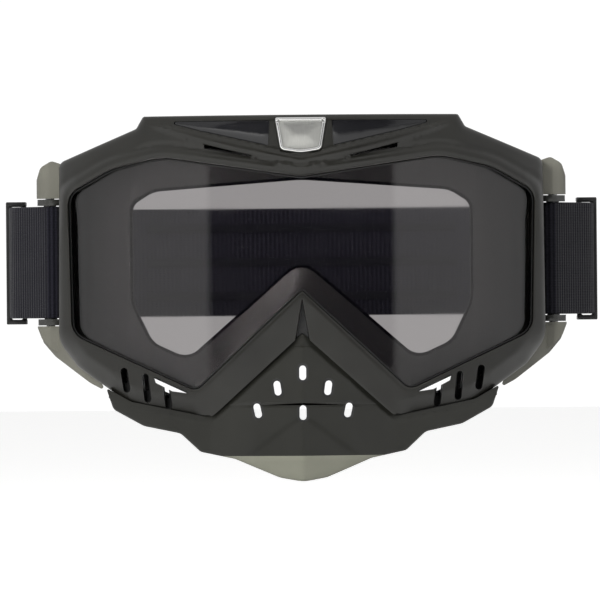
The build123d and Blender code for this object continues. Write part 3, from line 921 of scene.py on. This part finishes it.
def route_of(pieces, step=2.0):
    """One line from its pieces, without repeated points and with its long runs divided."""
    points = []
    for piece in pieces:
        for p in piece:
            if not points or np.linalg.norm(p - points[-1]) > 0.05:
                points.append(np.array(p, float))
    return divided(np.array(points), step, closed=False)


def strap_routes():
    """The right-hand strap in plan, by its outer face: the main run with its loop, the tail, and the hem."""
    along = np.array([cos(BAR_ANGLE), sin(BAR_ANGLE)])
    across = np.array([along[1], -along[0]])
    centre = PIVOT - along * 2
    reach = STRAP_THICKNESS + 1.3
    turn = STRAP_TURN
    middle = np.array([STRAP_HALF_SPAN - STRAP_SIDE_RADIUS, STRAP_BEND_START])
    corner = middle + STRAP_SIDE_RADIUS * np.array([cos(turn), sin(turn)])
    back = corner[0] / cos(turn)
    back_centre = np.array([0, corner[1] - back * sin(turn)])
    near, far = centre + across * reach, centre - across * reach
    far_outer = near + along * ((STRAP_HALF_SPAN - near[0]) / along[0])
    far_inner = far + along * ((STRAP_INNER_X - far[0]) / along[0])
    bend = LOOP_BEND_RADIUS * tan((pi / 2 - BAR_ANGLE) / 2)
    outer_bend = far_outer + np.array([0, bend])
    inner_bend = far_inner + np.array([0, bend])
    angle = pi / 2 - BAR_ANGLE
    outer_turn = arc_points(outer_bend - (LOOP_BEND_RADIUS, 0), LOOP_BEND_RADIUS, 0, -angle)
    inner_turn = arc_points(inner_bend - (LOOP_BEND_RADIUS, 0), LOOP_BEND_RADIUS, -angle, 0)
    facing = atan2(across[1], across[0])
    fold = arc_points(centre, reach, facing, facing - pi, 0.5)
    main = route_of([
        arc_points(back_centre, back, pi / 2, turn, 2),
        arc_points(middle, STRAP_SIDE_RADIUS, turn, 0, 2),
        outer_turn,
        [near],
        fold,
        inner_turn,
        [np.array([STRAP_INNER_X, STRAP_LOOP_END])],
    ])
    tail = route_of([[np.array([STRAP_INNER_X, STRAP_LOOP_END]), np.array([STRAP_INNER_X, HEM_TOP])]])
    wrap = route_of([
        arc_points((STRAP_INNER_X - HEM_CENTRE_IN, HEM_TOP), HEM_RADIUS, 0, pi, 0.5),
        [np.array([STRAP_INNER_X - HEM_OFFSET, HEM_END])],
    ], 1.0)
    return main, tail, wrap


def strip_solid(name, route, side, material, right_hand=True):
    """A flat woven strip along a plan route, its thickness to one side of the line, with UVs in metres."""
    tangent = np.gradient(route, axis=0)
    tangent /= np.linalg.norm(tangent, axis=1)[:, None]
    toward = np.column_stack([tangent[:, 1], -tangent[:, 0]]) * (1 if right_hand else -1)
    length = np.concatenate([[0], np.cumsum(np.linalg.norm(np.diff(route, axis=0), axis=1))])
    half, thickness = STRAP_WIDTH / 2, STRAP_THICKNESS
    levels = [half - 0.15, half - 0.6, half - 1.6, half - 2.4, *np.linspace(half - 4, 0, 5)]
    levels = levels + [-z for z in reversed(levels[:-1])]
    section = [(0.12 * (abs(z) > half - 0.5), z) for z in levels]
    section += [(thickness / 2, -half)]
    section += [(thickness - 0.12 * (abs(z) > half - 0.5), -z) for z in levels]
    section += [(thickness / 2, half)]
    across_at = np.concatenate([[0], np.cumsum([
        sqrt((b[0] - a[0])**2 + (b[1] - a[1])**2) for a, b in zip(section, section[1:])])])
    rows, count = len(route), len(section)
    vertices = []
    for i in range(rows):
        for depth, z in section:
            x, y = route[i] + toward[i] * depth
            vertices.append((side * x, y, z))
    faces, uvs = [], []
    for i in range(rows - 1):
        for k in range(count):
            j = (k + 1) % count
            faces.append((i * count + k, i * count + j, (i + 1) * count + j, (i + 1) * count + k))
            va, vb = across_at[k], across_at[k + 1] if k + 1 < count else across_at[k] + 0.9
            uvs.append([(length[i], va), (length[i], vb), (length[i + 1], vb), (length[i + 1], va)])
    faces += [tuple(range(count)), tuple((rows - 1) * count + k for k in reversed(range(count)))]
    uvs += [[(0, 0)] * count, [(0, 0)] * count]
    mesh = bpy.data.meshes.new(name)
    mesh.from_pydata([tuple(np.array(v) * MM) for v in vertices], [], faces)
    layer = mesh.uv_layers.new(name="UVMap")
    corner = 0
    for face in uvs:
        for u, v in face:
            layer.data[corner].uv = (u * MM, v * MM)
            corner += 1
    return shaded_object(name, mesh, material, 60), length[-1]


def stitch_row(name, places, body):
    """Short raised upright stitches, each a small capsule, at the given places."""
    work = bmesh.new()
    for place in places:
        matrix = Matrix.Translation(Vector(place) * MM) @ Matrix.Diagonal((1, 1, 3.2, 1))
        bmesh.ops.create_uvsphere(work, u_segments=6, v_segments=5, radius=0.00028, matrix=matrix)
    mesh = bpy.data.meshes.new(name)
    work.to_mesh(mesh)
    work.free()
    mesh.shade_smooth()
    mesh.materials.append(THREAD)
    piece = linked(name, mesh)
    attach(piece, body)
    return piece


def make_straps():
    main, tail, wrap = strap_routes()
    stitch_heights = np.arange(-17, 17.1, 2)
    for side, name in ((1, "right"), (-1, "left")):
        strap, length = strip_solid(f"strap_{name}", main, side, WEBBING)
        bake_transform(strap)
        rest, tail_length = strip_solid(f"strap_tail_{name}", tail, side, WEBBING)
        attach(rest, "root")
        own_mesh(rest)
        hem, hem_length = strip_solid(f"strap_hem_{name}", wrap, side, WEBBING, right_hand=False)
        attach(hem, f"{name}_adjuster")
        x = side * (STRAP_INNER_X - HEM_OFFSET - 0.05)
        places = [(x, y, z) for y in (HEM_END + 1.5, HEM_END + 4) for z in stitch_heights]
        row = stitch_row(f"hem_stitches_{name}", places, f"{name}_adjuster")
        if side > 0:
            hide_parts("strap_loop_right", "strap_band")
        else:
            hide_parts("strap_loop_left")
    back_face = main[0][1] + STITCH_LIFT
    places = [(x, back_face, z) for x in (-2.2, 2.2) for z in stitch_heights]
    stitch_row("back_seam_stitches", places, "root")


make_front_shell()
make_lens_edge_shade()
make_nose_guard()
make_badge()
make_face_pad()
make_straps()

soften_cad("brow_panel_left", GLOSS_PANEL, 0.15)
soften_cad("brow_panel_right", GLOSS_PANEL, 0.15)
soften_cad("rear_chassis", CHASSIS_PLASTIC, 0.5, 3)
for side in ("left", "right"):
    soften_cad(f"strap_bar_{side}", BAR_PLASTIC, 0.35)
    soften_cad(f"bar_pins_{side}", STEEL, 0.15)
    soften_cad(f"adjuster_{side}", BLACK_PLASTIC_AND_SHADE, 0.6, 3)
soften_cad("guard_push_studs", BLACK_PLASTIC_AND_SHADE, 0.25)
soften_cad("grip_strips", SILICONE, 0.2)
soften_cad("lens_seal", SEAL_RUBBER_AND_EDGE_SHADE, 0.1)
soften_cad("vent_foam_top", FILTER_FOAM, 0.3)
nodes["lens"].data.materials.clear()
nodes["lens"].data.materials.append(LENS)


# ---------------------------------------------------------------- studio

GUARD_TRAVEL = 0.04
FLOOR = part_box("nose_guard")[0].z - GUARD_TRAVEL - 0.0005
LOOK_AT = Vector((-0.0007, -0.02, -0.0135))
CAMERA_DISTANCE = 4.0
VIEW_WIDTH = 0.2022
ROOM_LIGHT = 0.22
SENSOR = 36.0
CAMERA_ROLL = radians(0.5)
BACKDROP_WHITE = (1.04, 1.04, 1.04)
BACKDROP_THROUGH_LENS = (0.45, 0.45, 0.45)
REFLECTED_ROOM = (0.66, 0.66, 0.66)
REFLECTED_DARK = (0.012, 0.012, 0.022)
FLOOR_REACH = 7.0
FLOOR_GLOW = 0.72


def make_floor():
    """A plain pale floor, low enough for the nose guard to slide down off the frame above it.

    Its glow is only for eyes: it adds no light to the goggles or to their reflections.
    """
    signs = ((-1, -1), (1, -1), (1, 1), (-1, 1))
    corners = [(x * FLOOR_REACH, y * FLOOR_REACH, FLOOR) for x, y in signs]
    mesh = bpy.data.meshes.new("floor")
    mesh.from_pydata(corners, [], [(0, 1, 2, 3)])
    floor = linked("floor", mesh)
    material, tree, shader = material_with("floor_white", (0.8, 0.8, 0.79), 0.8)
    shader.inputs["Specular IOR Level"].default_value = 0.1
    shader.inputs["Emission Color"].default_value = (1, 1, 1, 1)
    path = tree.nodes.new("ShaderNodeLightPath")
    seen = add_node(tree, "ShaderNodeMath", operation="MAXIMUM")
    tree.links.new(path.outputs["Is Camera Ray"], seen.inputs[0])
    tree.links.new(path.outputs["Is Transmission Ray"], seen.inputs[1])
    glow = ranged(tree, seen.outputs[0], 0.0, FLOOR_GLOW, 0.0, 1.0)
    tree.links.new(glow, shader.inputs["Emission Strength"])
    mesh.materials.append(material)


def make_light(name, place, size, power):
    """A soft box that faces the goggles. It is left out of reflections."""
    data = bpy.data.lights.new(name, "AREA")
    data.shape = "RECTANGLE"
    data.size, data.size_y = size
    data.energy = power
    lamp = linked(name, data)
    lamp.location = place
    lamp.visible_glossy = False
    lamp.rotation_euler = (LOOK_AT - Vector(place)).to_track_quat("-Z", "Y").to_euler()


def make_world():
    """A pale room that looks white past the goggles, and dimmer through the lens.

    In reflections it has a dark stretch in the direction that the goggles face.
    """
    world = bpy.data.worlds.new("studio")
    bpy.context.scene.world = world
    world.use_nodes = True
    tree = world.node_tree
    split = tree.nodes.new("ShaderNodeSeparateXYZ")
    tree.links.new(texture_space(tree, "Generated"), split.inputs[0])
    front = ranged(tree, split.outputs["Y"], 0.0, 1.0, -0.81, -0.785)
    reflected = mixed_colour(tree, front, REFLECTED_DARK, REFLECTED_ROOM)
    path = tree.nodes.new("ShaderNodeLightPath")
    mirrored_ray = add_node(tree, "ShaderNodeMath", operation="MAXIMUM")
    tree.links.new(path.outputs["Is Glossy Ray"], mirrored_ray.inputs[0])
    tree.links.new(path.outputs["Is Transmission Ray"], mirrored_ray.inputs[1])
    lit = mixed_colour(tree, mirrored_ray.outputs[0], (ROOM_LIGHT,) * 3, (0, 0, 0))
    tree.links.new(reflected, lit.node.inputs[7])
    onward = add_node(tree, "ShaderNodeMath", operation="MULTIPLY")
    tree.links.new(path.outputs["Is Transmission Ray"], onward.inputs[0])
    tree.links.new(ranged(tree, split.outputs["Y"], 0.0, 1.0, 0.0, 0.05), onward.inputs[1])
    through = mixed_colour(tree, onward.outputs[0], (0, 0, 0), BACKDROP_THROUGH_LENS)
    tree.links.new(lit, through.node.inputs[6])
    shown = mixed_colour(tree, path.outputs["Is Camera Ray"], (0, 0, 0), BACKDROP_WHITE)
    tree.links.new(through, shown.node.inputs[6])
    tree.links.new(shown, tree.nodes["Background"].inputs["Color"])


def make_camera():
    data = bpy.data.cameras.new("camera")
    data.sensor_width = SENSOR
    data.lens = SENSOR * CAMERA_DISTANCE / VIEW_WIDTH
    data.clip_end = 50
    camera = linked("camera", data)
    camera.location = LOOK_AT + Vector((0, -CAMERA_DISTANCE, 0))
    camera.rotation_euler = (radians(90), CAMERA_ROLL, 0)
    bpy.context.scene.camera = camera


make_floor()
make_world()
make_light("key_softbox", (-0.9, -2.1, 0.65), (0.9, 0.5), 60)
make_light("top_softbox", (0.1, -0.5, 1.6), (1.2, 0.8), 24)
make_camera()
bpy.context.scene.view_settings.view_transform = "Standard"
